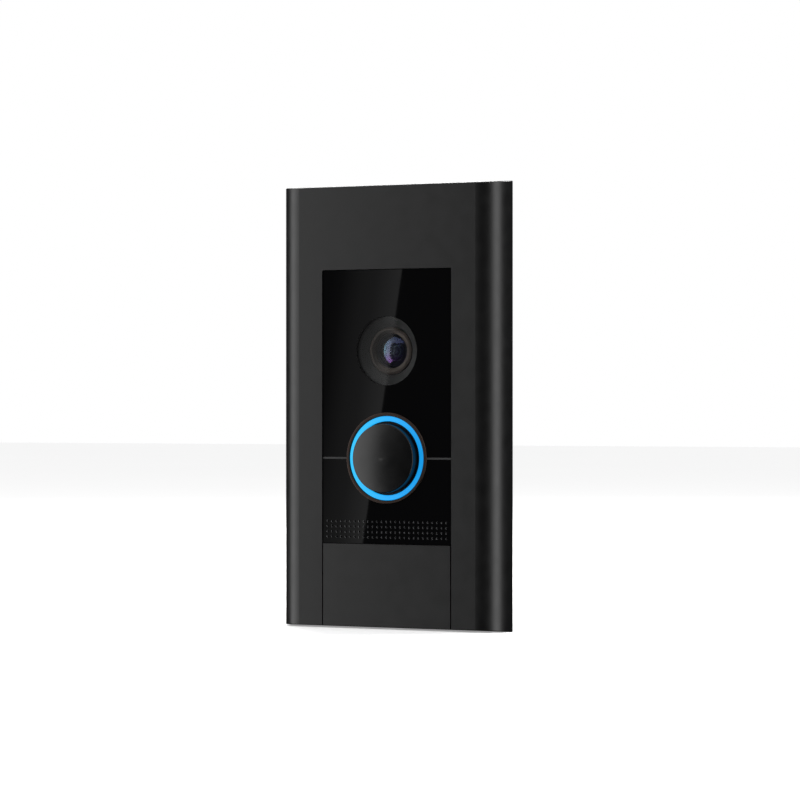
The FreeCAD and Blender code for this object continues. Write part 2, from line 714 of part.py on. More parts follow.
mounting_bracket = new_body("mounting_bracket")
layer(mounting_bracket, "bracket_front", "0",
      ("box", "-bracket_half_width", "bracket_half_width", "-bracket_half_height", "bracket_half_height"))
dress(mounting_bracket, "Fillet", "4", lambda p, e: close(abs(p.x), value("bracket_half_width"))
      and close(abs(p.z), value("bracket_half_height")))
layer(mounting_bracket, "lip_front", "bracket_front + 0.2",
      ("box", "-9", "9", "bracket_half_height - bracket_thick", "bracket_half_height"))
layer(mounting_bracket, "lip_front", "lip_back",
      ("box", "-9", "9", "bracket_half_height - bracket_thick", "bracket_half_height + 3.2"))
layer(mounting_bracket, "lip_front - 0.1", "bracket_front + 0.2",
      ("box", "-7", "7", "-bracket_half_height", "bracket_thick - bracket_half_height"))
cutout(mounting_bracket, "bracket_front - 1", "1",
       ("box", "-24.6", "24.6", "-housing_drop - 0.9", "housing_top + 0.9"),
       *(discs(WALL_SPOTS, "wall_screw_hole") + discs(BODY_SPOTS, "1.5")))
long_cut(mounting_bracket, "-bracket_half_height - 1", "bracket_thick - bracket_half_height + 0.3",
         ("disc", "0", "lock_screw_at", "1.25"))

wall_gasket = new_body("wall_gasket")
layer(wall_gasket, "housing_back", "bracket_front",
      ("box", "-flange_half_width + 0.8", "flange_half_width - 0.8",
       "1 - flange_half_height", "flange_half_height - 1"),
      ("box", "-24.4", "24.4", "-housing_drop - 0.5", "housing_top + 0.5"),
      *(discs(WALL_SPOTS, "4.1") + discs(BODY_SPOTS, "1.7")))

JACK_LEFT, JACK_RIGHT, JACK_LOW, JACK_HIGH = "-8", "8", "-27", "-13.5"
RESET_X, RESET_Z = "-16", "19"

# A wide box behind the flange, then a narrower spine that holds the network jack
rear_housing = new_body("rear_housing")
layer(rear_housing, "housing_back - 0.2", "shelf_end",
      ("box", "-housing_width / 2", "housing_width / 2", "-housing_drop", "housing_top"))
dress(rear_housing, "Fillet", "3", lambda p, e: close(abs(p.x), value("housing_width / 2"))
      and (close(p.z, value("housing_top")) or close(p.z, value("-housing_drop"))))
dress(rear_housing, "Fillet", "1.6", lambda p, e: close(p.y, value("shelf_end")))
layer(rear_housing, "shelf_end - 0.2", "rear_end",
      ("box", "-spine_half_width", "spine_half_width", "4 - housing_drop", "housing_top - 4"))
dress(rear_housing, "Fillet", "2", lambda p, e: close(abs(p.x), value("spine_half_width"))
      and (close(p.z, value("housing_top - 4")) or close(p.z, value("4 - housing_drop"))))
dress(rear_housing, "Fillet", "1.2", lambda p, e: close(p.y, value("rear_end")))
layer(rear_housing, "flange_back", "housing_back", ("box", "-flange_half_width", "flange_half_width",
      "-flange_half_height", "flange_half_height"))
dress(rear_housing, "Fillet", "3", lambda p, e: close(abs(p.x), value("flange_half_width"))
      and close(abs(p.z), value("flange_half_height")))
for low in ("-26", "-13", "0", "13"):
    layer(rear_housing, "5", "shelf_end - 3",
          ("box", "-housing_width / 2 - 0.6", "housing_width / 2 + 0.6", low, low + " + 1.4"))
cutout(rear_housing, "flange_back - 1", "shelf_inner",
       ("box", "-cavity_half_width", "cavity_half_width", "-cavity_drop", "cavity_top"))
cutout(rear_housing, "shelf_inner - 1", "rear_inner",
       ("box", "housing_wall - spine_half_width", "spine_half_width - housing_wall",
        "4 - cavity_drop", "cavity_top - 4"))
cutout(rear_housing, "flange_back - 1", "flange_back + 0.9",
       ("box", "-cavity_half_width - 1.7", "cavity_half_width + 1.7",
        "-cavity_drop - 1.7", "cavity_top + 1.7"),
       ("box", "-cavity_half_width - 0.7", "cavity_half_width + 0.7",
        "-cavity_drop - 0.7", "cavity_top + 0.7"))
cutout(rear_housing, "flange_back - 1", "housing_back + 1",
       *(discs(WALL_SPOTS, "3.8") + discs(BODY_SPOTS, "1.65") + discs(HOUSING_SPOTS, "1.05")))
dress(rear_housing, "Chamfer", "0.9", lambda p, e: close(p.y, value("housing_back"))
      and close(e.Length, 2 * math.pi * 1.05))
cutout(rear_housing, "rear_inner - 1", "rear_end + 1",
       ("box", JACK_LEFT + " - 0.1", JACK_RIGHT + " + 0.1", JACK_LOW + " - 0.1", JACK_HIGH + " + 0.1"))
cutout(rear_housing, "shelf_inner - 1", "shelf_end + 1", ("disc", RESET_X, RESET_Z, "1.5"))

housing_seal = new_body("housing_seal")
layer(housing_seal, "flange_back", "flange_back + 0.9",
      ("box", "-cavity_half_width - 1.65", "cavity_half_width + 1.65",
       "-cavity_drop - 1.65", "cavity_top + 1.65"),
      ("box", "-cavity_half_width - 0.75", "cavity_half_width + 0.75",
       "-cavity_drop - 0.75", "cavity_top + 0.75"))

# ---------------------------------------------------------------- boards inside the housing

BOARD = ("box", "1.2 - cavity_half_width", "cavity_half_width - 1.2",
         "1.2 - cavity_drop", "cavity_top - 1.2")

main_board = new_body("main_board")
layer(main_board, "main_board_at", "main_board_end", BOARD, *discs(POST_SPOTS, "1.05"))

processor = new_body("processor")
layer(processor, "main_board_end", "main_board_end + 1.4", ("box", "-7", "7", "-1", "13"))

heat_spreader = new_body("heat_spreader")
layer(heat_spreader, "main_board_end + 1.4", "main_board_end + 2.8", ("box", "-15.5", "15.5", "-7", "19"))
FINS = [("box", left, left + " + 1.2", "-7", "19")
        for left in ("-15.5", "-9.7", "-3.9", "2.7", "8.5", "14.3")]
layer(heat_spreader, "main_board_end + 2.6", "main_board_end + 3.9", *FINS)

ring_flex = new_body("ring_flex")
side_pad(ring_flex, "-4", "4", [
    ("ring_board_end", "-23"),
    ("ring_board_end + 0.3", "-23"),
    ("ring_board_end + 0.3", "-17.3"),
    ("main_board_at - 0.3", "-17.3"),
    ("main_board_at - 0.3", "-23"),
    ("main_board_at", "-23"),
    ("main_board_at", "-17"),
    ("ring_board_end", "-17"),
])

stack_connector = new_body("stack_connector")
layer(stack_connector, "main_board_end", "power_board_at", ("box", "-12", "12", "-31.5", "-27.5"))
cutout(stack_connector, "main_board_end + 1.8", "main_board_end + 2.3",
       ("outline", [("-12.5", "-32"), ("12.5", "-32"), ("12.5", "-27"), ("-12.5", "-27"),
                    ("-12.5", "-28"), ("11.5", "-28"), ("11.5", "-31"), ("-12.5", "-31")]))

power_board = new_body("power_board")
layer(power_board, "power_board_at", "power_board_end", BOARD, *discs(POST_SPOTS, "1.05"))

power_transformer = new_body("power_transformer")
layer(power_transformer, "power_board_end", "power_board_end + 10.5",
      ("box", "-6.5", "-3.5", "-11", "3"), ("box", "3.5", "6.5", "-11", "3"))
layer(power_transformer, "power_board_end + 1.2", "power_board_end + 9.3",
      ("box", "-3.7", "3.7", "-9.5", "1.5"))
layer(power_transformer, "power_board_end", "power_board_end + 1.5",
      ("box", "-6.5", "6.5", "-11", "3"))
layer(power_transformer, "power_board_end + 9", "power_board_end + 10.5",
      ("box", "-6.5", "6.5", "-11", "3"))

capacitor = new_body("capacitor", export=False)
turned(capacitor, [("0", "0"), ("4", "0"), ("4", "12"), ("3.5", "12"), ("3.5", "11.8"), ("0", "11.8")])
capacitors = repeat("capacitors", capacitor, spots_at("power_board_end", ("0", "9"), ("0", "18.5")))

network_jack = new_body("network_jack")
layer(network_jack, "power_board_end", "rear_end", ("box", JACK_LEFT, JACK_RIGHT, JACK_LOW, JACK_HIGH))
cutout(network_jack, "rear_end - 13", "rear_end + 1",
       ("outline", [
           ("-6", "-23"), ("-3.1", "-23"), ("-3.1", "-24.4"), ("-1.6", "-24.4"),
           ("-1.6", "-25.6"), ("1.6", "-25.6"), ("1.6", "-24.4"), ("3.1", "-24.4"),
           ("3.1", "-23"), ("6", "-23"), ("6", "-15.5"), ("-6", "-15.5"),
       ]))

contact_wire = new_body("contact_wire", export=False)
side_pad(contact_wire, "-0.25", "0.25", [
    ("rear_end - 13", "-18.2"),
    ("rear_end - 12.7", "-18.2"),
    ("rear_end - 6.2", "-15.9"),
    ("rear_end - 3", "-15.9"),
    ("rear_end - 3", "-15.5"),
    ("rear_end - 6.4", "-15.5"),
    ("rear_end - 13", "-17.8"),
])
CONTACT_SPOTS = [("%.2f" % (1.02 * (step - 3.5)), "0", "0") for step in range(8)]
jack_contacts = repeat("jack_contacts", contact_wire, CONTACT_SPOTS)

reset_switch_body = new_body("reset_switch_body")
layer(reset_switch_body, "power_board_end", "power_board_end + 1.3", ("box", "-2.2", "2.2", "-2.2", "2.2"))
cutout(reset_switch_body, "power_board_end + 0.2", "power_board_end + 4", ("disc", "0", "0", "1.05"))
place(reset_switch_body, x=RESET_X, z=RESET_Z)

reset_switch_plunger = new_body("reset_switch_plunger")
layer(reset_switch_plunger, "power_board_end + 0.6", "reset_key_at", ("disc", "0", "0", "1"))
place(reset_switch_plunger, x=RESET_X, z=RESET_Z)

reset_button = new_body("reset_button")
turned(reset_button, [
    ("0", "reset_key_at"),
    ("2.2", "reset_key_at"),
    ("2.2", "shelf_inner"),
    ("1.42", "shelf_inner"),
    ("1.42", "shelf_end + 0.5"),
    ("0", "shelf_end + 0.5"),
])
place(reset_button, x=RESET_X, z=RESET_Z)

# ---------------------------------------------------------------- fasteners
# Each is drawn with its head at the front and its shank towards +Y.


def cross_recess(body, front, depth, reach):
    cutout(body, front, front + " + " + depth,
           ("outline", [
               ("-" + reach, "-0.25"), ("-0.25", "-0.25"), ("-0.25", "-" + reach), ("0.25", "-" + reach),
               ("0.25", "-0.25"), (reach, "-0.25"), (reach, "0.25"), ("0.25", "0.25"),
               ("0.25", reach), ("-0.25", reach), ("-0.25", "0.25"), ("-" + reach, "0.25"),
           ]))


def flat_screw(name, head, shank, depth, length):
    """Countersunk screw whose head face lies at y = 0."""
    screw = new_body(name, export=False)
    turned(screw, [("0", "0"), (head, "0"), (shank, depth), (shank, length), ("0", length)])
    cross_recess(screw, "0", "0.6", "1")
    return screw


def pan_screw(name, head, height, shank, length):
    """Pan-head screw whose head rests at y = 0."""
    screw = new_body(name, export=False)
    turned(screw, [("0", "-" + height), (head, "-" + height), (head, "0"),
                   (shank, "0"), (shank, length), ("0", length)])
    dress(screw, "Fillet", "0.35", lambda p, e: close(p.y, -float(height)))
    cross_recess(screw, "-" + height, "0.5", "0.9")
    return screw


body_screw = flat_screw("body_screw", "2.9", "1.47", "1.3", "-flange_front")
body_screws = repeat("body_screws", body_screw, spots_at("flange_front", *BODY_SPOTS))
housing_screw = flat_screw("housing_screw", "1.9", "0.78", "1", "back_flange_thick + 1.7")
housing_screws = repeat("housing_screws", housing_screw, spots_at("housing_back", *HOUSING_SPOTS), 180)
ring_screw = pan_screw("ring_screw", "1.4", "0.9", "0.63", "2.6")
ring_board_screws = repeat("ring_board_screws", ring_screw, spots_at("ring_board_end", *RING_SPOTS), 180)
sensor_screw = pan_screw("sensor_screw", "1.4", "0.9", "0.63", "4")
sensor_board_screws = repeat("sensor_board_screws", sensor_screw,
                             spots_at("sensor_board_end", *CAMERA_SPOTS), 180)
power_screw = pan_screw("power_screw", "1.8", "1.2", "0.93", "4.6")
power_board_screws = repeat("power_board_screws", power_screw, spots_at("power_board_end", *POST_SPOTS), 180)

standoff = new_body("standoff", export=False)
HEX = [("2.1 * %.6f" % math.cos(math.radians(60 * k)), "2.1 * %.6f" % math.sin(math.radians(60 * k)))
       for k in range(6)]
layer(standoff, "main_board_end", "power_board_at", ("outline", HEX))
layer(standoff, "main_board_at - 5", "main_board_end + 0.2", ("disc", "0", "0", "0.92"))
cutout(standoff, "power_board_at - 3.4", "power_board_at + 1", ("disc", "0", "0", "0.95"))
standoffs = repeat("standoffs", standoff, spots_at("0", *POST_SPOTS))

security_screw = new_body("security_screw")
turned(security_screw, [
    ("0", "0"), ("2.8", "0"), ("2.8", "0.7"), ("1.23", "0.7"), ("1.23", "8"), ("0", "8"),
])
dress(security_screw, "Chamfer", "0.2", lambda p, e: close(p.y, 0) and e.Length > 10)
cutout(security_screw, "-1", "0.5", ("outline", [
    ("1.2 * %.6f" % math.cos(math.radians(60 * k)), "1.2 * %.6f" % math.sin(math.radians(60 * k)))
    for k in range(6)]), ("disc", "0", "0", "0.35"))
security_screw.Placement = FreeCAD.Placement(
    FreeCAD.Vector(), FreeCAD.Rotation(FreeCAD.Vector(1, 0, 0), 90))
place(security_screw, y="lock_screw_at", z="0.4 - half_height")

# ---------------------------------------------------------------- checks and export

doc.recompute()
for item in doc.Objects:
    if "Invalid" in item.State or "Error" in item.State:
        raise RuntimeError("%s did not recompute: %s" % (item.Label, item.State))
for node in EXPORTS:
    if node.Shape.isNull() or not node.Shape.isValid():
        raise RuntimeError("bad shape: " + node.Label)
for node in EXPORTS:
    node.Shape.exportStep("parts/%s.step" % node.Label)
    print("%-24s solids %d volume %.2f" % (node.Label, len(node.Shape.Solids), node.Shape.Volume))
print("nodes", len(EXPORTS))
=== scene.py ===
import math

import bpy
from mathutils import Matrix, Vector


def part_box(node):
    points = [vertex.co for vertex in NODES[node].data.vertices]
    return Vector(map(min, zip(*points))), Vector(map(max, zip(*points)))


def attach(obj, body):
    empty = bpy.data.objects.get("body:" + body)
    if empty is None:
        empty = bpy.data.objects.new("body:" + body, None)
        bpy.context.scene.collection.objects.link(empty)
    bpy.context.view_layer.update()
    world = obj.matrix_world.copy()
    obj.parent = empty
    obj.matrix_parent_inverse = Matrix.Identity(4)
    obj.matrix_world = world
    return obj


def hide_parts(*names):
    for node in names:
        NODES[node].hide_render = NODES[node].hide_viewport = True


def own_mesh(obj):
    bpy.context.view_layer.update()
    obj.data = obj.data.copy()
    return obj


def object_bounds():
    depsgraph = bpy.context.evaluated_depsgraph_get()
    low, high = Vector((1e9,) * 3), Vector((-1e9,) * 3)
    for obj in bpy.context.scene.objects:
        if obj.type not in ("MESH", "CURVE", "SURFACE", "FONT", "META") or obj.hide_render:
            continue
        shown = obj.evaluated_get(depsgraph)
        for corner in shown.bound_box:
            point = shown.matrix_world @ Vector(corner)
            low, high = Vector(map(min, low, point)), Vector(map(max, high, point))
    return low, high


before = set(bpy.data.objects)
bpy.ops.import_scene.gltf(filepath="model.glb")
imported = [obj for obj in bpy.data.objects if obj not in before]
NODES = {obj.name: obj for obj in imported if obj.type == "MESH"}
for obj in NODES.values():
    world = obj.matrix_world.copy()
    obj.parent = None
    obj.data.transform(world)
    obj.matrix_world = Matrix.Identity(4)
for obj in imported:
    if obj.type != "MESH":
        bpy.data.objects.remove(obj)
CAD_BOX = [list(corner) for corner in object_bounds()]


# ---------------------------------------------------------------- node helpers

def new_material(name):
    """A material with a Principled shader: the material, its tree, the shader and the output."""
    material = bpy.data.materials.new(name)
    material.use_nodes = True
    tree = material.node_tree
    tree.nodes.clear()
    output = tree.nodes.new("ShaderNodeOutputMaterial")
    shader = tree.nodes.new("ShaderNodeBsdfPrincipled")
    tree.links.new(shader.outputs["BSDF"], output.inputs["Surface"])
    return material, tree, shader, output


def spot(tree):
    """Row-frame position, in metres: every node's object sits at the origin."""
    return tree.nodes.new("ShaderNodeTexCoord").outputs["Object"]


def math_node(tree, kind, first, second=None, third=None):
    """Result of a Math node whose inputs are numbers or other nodes' outputs."""
    node = tree.nodes.new("ShaderNodeMath")
    node.operation = kind
    for index, item in enumerate((first, second, third)):
        if item is None:
            continue
        if isinstance(item, (int, float)):
            node.inputs[index].default_value = item
        else:
            tree.links.new(item, node.inputs[index])
    return node.outputs[0]


def noise(tree, scale, detail=3.0, rough=0.5, stretch=(1, 1, 1)):
    """Noise over the row frame, so its scale is in repeats per metre."""
    mapping = tree.nodes.new("ShaderNodeMapping")
    mapping.inputs["Scale"].default_value = stretch
    tree.links.new(spot(tree), mapping.inputs["Vector"])
    node = tree.nodes.new("ShaderNodeTexNoise")
    node.inputs["Scale"].default_value = scale
    node.inputs["Detail"].default_value = detail
    node.inputs["Roughness"].default_value = rough
    tree.links.new(mapping.outputs["Vector"], node.inputs["Vector"])
    return node.outputs["Fac"]


def ramp(tree, value, stops):
    """Colour for a value from 0 to 1, from stops of (place, colour)."""
    node = tree.nodes.new("ShaderNodeValToRGB")
    tree.links.new(value, node.inputs["Fac"])
    band = node.color_ramp
    while len(band.elements) < len(stops):
        band.elements.new(0.5)
    for element, (place, colour) in zip(band.elements, stops):
        element.position = place
        element.color = (*colour, 1) if len(colour) == 3 else colour
    return node.outputs["Color"]


def spread(tree, value, low, high, out_low, out_high):
    """Value mapped from one range to another."""
    node = tree.nodes.new("ShaderNodeMapRange")
    tree.links.new(value, node.inputs["Value"])
    for name, number in (("From Min", low), ("From Max", high),
                         ("To Min", out_low), ("To Max", out_high)):
        node.inputs[name].default_value = number
    return node.outputs["Result"]


def bump(tree, shader, height, strength, distance):
    node = tree.nodes.new("ShaderNodeBump")
    node.inputs["Strength"].default_value = strength
    node.inputs["Distance"].default_value = distance
    tree.links.new(height, node.inputs["Height"])
    tree.links.new(node.outputs["Normal"], shader.inputs["Normal"])


def plastic(name, colour, rough=0.5, grain=9000, depth=0.00002, strength=0.25, level=0.5,
            vary=0.12):
    """Moulded plastic: faint colour drift, uneven gloss and a fine spark-eroded grain."""
    material, tree, shader, _ = new_material(name)
    drift = noise(tree, 60, 4, 0.6)
    dark = tuple(part * (1 - vary) for part in colour)
    light = tuple(min(1, part * (1 + vary)) for part in colour)
    tree.links.new(ramp(tree, drift, [(0.3, dark), (0.7, light)]), shader.inputs["Base Color"])
    tree.links.new(spread(tree, noise(tree, 260, 3), 0.3, 0.7, rough - 0.03, rough + 0.03),
                   shader.inputs["Roughness"])
    shader.inputs["Specular IOR Level"].default_value = level
    bump(tree, shader, noise(tree, grain, 2, 0.6), strength, depth)
    return material


def metal(name, colour, rough=0.3, stretch=(1, 1, 1), scale=2500):
    """Metal with a fine drawn or plated finish."""
    material, tree, shader, _ = new_material(name)
    drift = noise(tree, scale, 3, 0.6, stretch)
    dark = tuple(part * 0.86 for part in colour)
    tree.links.new(ramp(tree, drift, [(0.3, dark), (0.7, colour)]), shader.inputs["Base Color"])
    tree.links.new(spread(tree, drift, 0.3, 0.7, rough - 0.05, rough + 0.07),
                   shader.inputs["Roughness"])
    shader.inputs["Metallic"].default_value = 1.0
    bump(tree, shader, drift, 0.15, 0.00001)
    return material


def rubber(name, colour=(0.012, 0.012, 0.012)):
    return plastic(name, colour, rough=0.8, grain=4000, depth=0.00004, strength=0.4, level=0.3)


def board(name):
    """Green solder mask with faint copper tracks under it."""
    material, tree, shader, _ = new_material(name)
    tracks = tree.nodes.new("ShaderNodeTexBrick")
    tracks.inputs["Scale"].default_value = 420
    tracks.inputs["Mortar Size"].default_value = 0.045
    tracks.inputs["Mortar Smooth"].default_value = 0.2
    turn = tree.nodes.new("ShaderNodeMapping")
    turn.inputs["Rotation"].default_value = (math.radians(90), 0, 0)
    tree.links.new(spot(tree), turn.inputs["Vector"])
    tree.links.new(turn.outputs["Vector"], tracks.inputs["Vector"])
    mask = math_node(tree, "MULTIPLY", tracks.outputs["Fac"], math_node(
        tree, "GREATER_THAN", noise(tree, 260, 1), 0.5))
    tree.links.new(ramp(tree, mask, [(0.0, (0.006, 0.055, 0.022)), (1.0, (0.018, 0.13, 0.05))]),
                   shader.inputs["Base Color"])
    shader.inputs["Roughness"].default_value = 0.35
    bump(tree, shader, mask, 0.3, 0.00003)
    return material


def radius_from(tree, x, z):
    """Distance of a surface point from an axis along Y, in metres."""
    parts = tree.nodes.new("ShaderNodeSeparateXYZ")
    tree.links.new(spot(tree), parts.inputs["Vector"])
    across = math_node(tree, "SUBTRACT", parts.outputs["X"], x)
    up = math_node(tree, "SUBTRACT", parts.outputs["Z"], z)
    total = math_node(tree, "ADD", math_node(tree, "MULTIPLY", across, across),
                      math_node(tree, "MULTIPLY", up, up))
    return math_node(tree, "SQRT", total)


def sheen(tree, straight_on):
    """Share of light that a surface reflects: least straight on, all of it at a grazing angle."""
    weight = tree.nodes.new("ShaderNodeLayerWeight")
    weight.inputs["Blend"].default_value = 0.5
    steep = math_node(tree, "POWER", weight.outputs["Facing"], 5.0)
    return math_node(tree, "MULTIPLY_ADD", steep, 1 - straight_on, straight_on)


def centre_of(node):
    """Middle of a CAD node's box."""
    low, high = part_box(node)
    return [(low[i] + high[i]) / 2 for i in range(3)]


# ---------------------------------------------------------------- materials

SATIN = plastic("satin_black", (0.0019, 0.0019, 0.002), rough=0.37, grain=7000, depth=0.000004,
                strength=0.3)
FRAME = plastic("frame_black", (0.02, 0.02, 0.021), rough=0.55, grain=5000)
BUTTON = plastic("button_satin", (0.0016, 0.0016, 0.0018), rough=0.3, grain=9000, depth=0.000003,
                 strength=0.2, level=0.42)
CHIP = plastic("chip_black", (0.014, 0.014, 0.015), rough=0.5)
CREAM = plastic("cream_plastic", (0.62, 0.56, 0.43), rough=0.45)
FERRITE = plastic("ferrite", (0.045, 0.045, 0.05), rough=0.7, grain=3000, strength=0.6)
SLEEVE = plastic("can_sleeve", (0.012, 0.02, 0.045), rough=0.25, vary=0.2)
FILM = plastic("amber_film", (0.42, 0.17, 0.02), rough=0.3)
DIVIDER = plastic("divider_grey", (0.018, 0.018, 0.019), rough=0.5)
TAPE = plastic("tape", (0.006, 0.006, 0.006), rough=0.9)
RUBBER = rubber("seal_rubber")
BOARD = board("board_green")
STEEL = metal("steel", (0.52, 0.52, 0.54), rough=0.28)
ZINC = metal("zinc_steel", (0.60, 0.60, 0.58), rough=0.36, stretch=(1, 1, 6))
ALUMINIUM = metal("aluminium", (0.72, 0.73, 0.74), rough=0.34, stretch=(1, 1, 8))
BRASS = metal("brass", (0.70, 0.50, 0.20), rough=0.25)
GOLD = metal("contact_gold", (0.86, 0.62, 0.24), rough=0.18)
BEZEL = metal("bezel_metal", (0.052, 0.038, 0.033), rough=0.36)
LENS_METAL = metal("lens_metal", (0.045, 0.038, 0.034), rough=0.34)


def window_material():
    """Glass printed black on its back, with a clear round area over the camera."""
    material, tree, shader, output = new_material("window_glass")
    shader.inputs["Base Color"].default_value = (0.0015, 0.0015, 0.0017, 1)
    tree.links.new(spread(tree, noise(tree, 500, 2), 0.3, 0.7, 0.012, 0.02),
                   shader.inputs["Roughness"])
    shader.inputs["IOR"].default_value = 1.5
    funnel = centre_of("camera_funnel")
    low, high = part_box("camera_funnel")
    hidden_rim = 0.0019  # the print covers this much of the funnel
    edge = (high[0] - low[0]) / 2 - hidden_rim
    mask = math_node(tree, "LESS_THAN", radius_from(tree, funnel[0], funnel[2]), edge)
    through = tree.nodes.new("ShaderNodeBsdfTransparent")
    through.inputs["Color"].default_value = (0.985, 0.99, 0.99, 1)
    gloss = tree.nodes.new("ShaderNodeBsdfGlossy")
    gloss.inputs["Roughness"].default_value = 0.015
    pane = tree.nodes.new("ShaderNodeMixShader")
    tree.links.new(sheen(tree, 0.035), pane.inputs["Fac"])
    tree.links.new(through.outputs["BSDF"], pane.inputs[1])
    tree.links.new(gloss.outputs["BSDF"], pane.inputs[2])
    both = tree.nodes.new("ShaderNodeMixShader")
    tree.links.new(mask, both.inputs["Fac"])
    tree.links.new(shader.outputs["BSDF"], both.inputs[1])
    tree.links.new(pane.outputs["Shader"], both.inputs[2])
    tree.links.new(both.outputs["Shader"], output.inputs["Surface"])
    return material


def panel_material():
    """Black printed panel; the walls of its drilled holes are frosted."""
    material, tree, shader, _ = new_material("panel_glass")
    facing = tree.nodes.new("ShaderNodeSeparateXYZ")
    tree.links.new(tree.nodes.new("ShaderNodeNewGeometry").outputs["Normal"], facing.inputs["Vector"])
    flat = math_node(tree, "ABSOLUTE", facing.outputs["Y"])
    parts = tree.nodes.new("ShaderNodeSeparateXYZ")
    tree.links.new(spot(tree), parts.inputs["Vector"])
    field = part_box("speaker_mesh")
    inside = math_node(tree, "MULTIPLY",
                       math_node(tree, "GREATER_THAN", parts.outputs["Z"], field[0][2]),
                       math_node(tree, "LESS_THAN", parts.outputs["Z"], field[1][2]))
    across = math_node(tree, "LESS_THAN", math_node(tree, "ABSOLUTE", parts.outputs["X"]),
                       field[1][0])
    wall = math_node(tree, "MULTIPLY", math_node(tree, "LESS_THAN", flat, 0.5),
                     math_node(tree, "MULTIPLY", inside, across))
    tree.links.new(ramp(tree, wall, [(0.0, (0.0015, 0.0015, 0.0017)), (1.0, (0.16, 0.16, 0.165))]),
                   shader.inputs["Base Color"])
    tree.links.new(spread(tree, wall, 0, 1, 0.015, 0.7), shader.inputs["Roughness"])
    shader.inputs["IOR"].default_value = 1.5
    return material


def light_material():
    """Light guide: glows blue, a little paler at its left, deeper at its right."""
    material, tree, shader, _ = new_material("light_guide")
    parts = tree.nodes.new("ShaderNodeSeparateXYZ")
    tree.links.new(spot(tree), parts.inputs["Vector"])
    low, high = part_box("light_ring")
    side = spread(tree, parts.outputs["X"], low[0], high[0], 0, 1)
    mottle = math_node(tree, "ADD", side, math_node(tree, "MULTIPLY", math_node(
        tree, "SUBTRACT", noise(tree, 180, 2), 0.5), 0.1))
    colour = ramp(tree, mottle, [(0.0, (0.021, 0.584, 1.0)), (0.5, (0.007, 0.402, 0.955)),
                                 (1.0, (0.0024, 0.296, 0.745))])
    tree.links.new(colour, shader.inputs["Emission Color"])
    shader.inputs["Emission Strength"].default_value = 0.93
    shader.inputs["Base Color"].default_value = (0.01, 0.10, 0.20, 1)
    shader.inputs["Roughness"].default_value = 0.4
    return material


def mesh_cloth():
    """Woven grey cloth behind the speaker's holes."""
    material, tree, shader, _ = new_material("mesh_cloth")
    weave = tree.nodes.new("ShaderNodeTexChecker")
    weave.inputs["Scale"].default_value = 7000
    tree.links.new(spot(tree), weave.inputs["Vector"])
    tree.links.new(ramp(tree, weave.outputs["Fac"],
                        [(0.0, (0.10, 0.10, 0.10)), (1.0, (0.22, 0.22, 0.22))]),
                   shader.inputs["Base Color"])
    shader.inputs["Roughness"].default_value = 0.9
    return material


def coated_lens_painted_reflection():
    """Front lens: clear glass whose coating reflects cyan at its edge, then blue, and purple low down.
    The tint is partly the coating's colour and partly painted reflection: it is set by place on the lens,
    strong in the middle, weak at the right edge and brightest purple low down.
    """
    material, tree, shader, output = new_material("front_lens_glass")
    low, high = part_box("front_lens")
    middle = centre_of("front_lens")
    reach = (high[0] - low[0]) / 2
    parts = tree.nodes.new("ShaderNodeSeparateXYZ")
    tree.links.new(spot(tree), parts.inputs["Vector"])
    across = spread(tree, parts.outputs["X"], middle[0] - reach, middle[0] + reach, 0, 1)
    down = spread(tree, parts.outputs["Z"], middle[2] + reach, middle[2] - reach, 0, 1)
    # Painted reflection: the gloss tint and its strength change across and down the lens, on top of the
    # coating's colour.
    side = ramp(tree, across, [(0.0, (0.10, 0.55, 0.60)), (0.2, (0.30, 0.75, 0.85)),
                               (0.34, (0.62, 0.80, 1.25)), (0.5, (0.80, 0.75, 1.3)),
                               (0.75, (0.35, 0.35, 0.9)), (1.0, (0.1, 0.1, 0.5))])
    foot = ramp(tree, down, [(0.0, (0.6, 0.95, 1.0)), (0.55, (1.0, 1.0, 1.0)),
                             (0.8, (1.5, 0.55, 1.4)), (1.0, (0.6, 0.3, 0.8))])
    tint = tree.nodes.new("ShaderNodeMix")
    tint.data_type = "RGBA"
    tint.blend_type = "MULTIPLY"
    tint.inputs["Factor"].default_value = 1.0
    tree.links.new(side, tint.inputs["A"])
    tree.links.new(foot, tint.inputs["B"])
    coat = tree.nodes.new("ShaderNodeBsdfGlossy")
    coat.inputs["Roughness"].default_value = 0.06
    tree.links.new(tint.outputs["Result"], coat.inputs["Color"])
    through = tree.nodes.new("ShaderNodeBsdfTransparent")
    through.inputs["Color"].default_value = (0.92, 0.96, 0.98, 1)
    clear = tree.nodes.new("ShaderNodeMixShader")
    tree.links.new(sheen(tree, 0.09), clear.inputs["Fac"])
    tree.links.new(through.outputs["BSDF"], clear.inputs[1])
    tree.links.new(coat.outputs["BSDF"], clear.inputs[2])
    shader.inputs["Base Color"].default_value = (0.002, 0.003, 0.012, 1)
    shader.inputs["Roughness"].default_value = 0.2
    body = tree.nodes.new("ShaderNodeMixShader")
    body.inputs["Fac"].default_value = 0.25
    tree.links.new(clear.outputs["Shader"], body.inputs[1])
    tree.links.new(shader.outputs["BSDF"], body.inputs[2])
    tree.links.new(body.outputs["Shader"], output.inputs["Surface"])
    return material


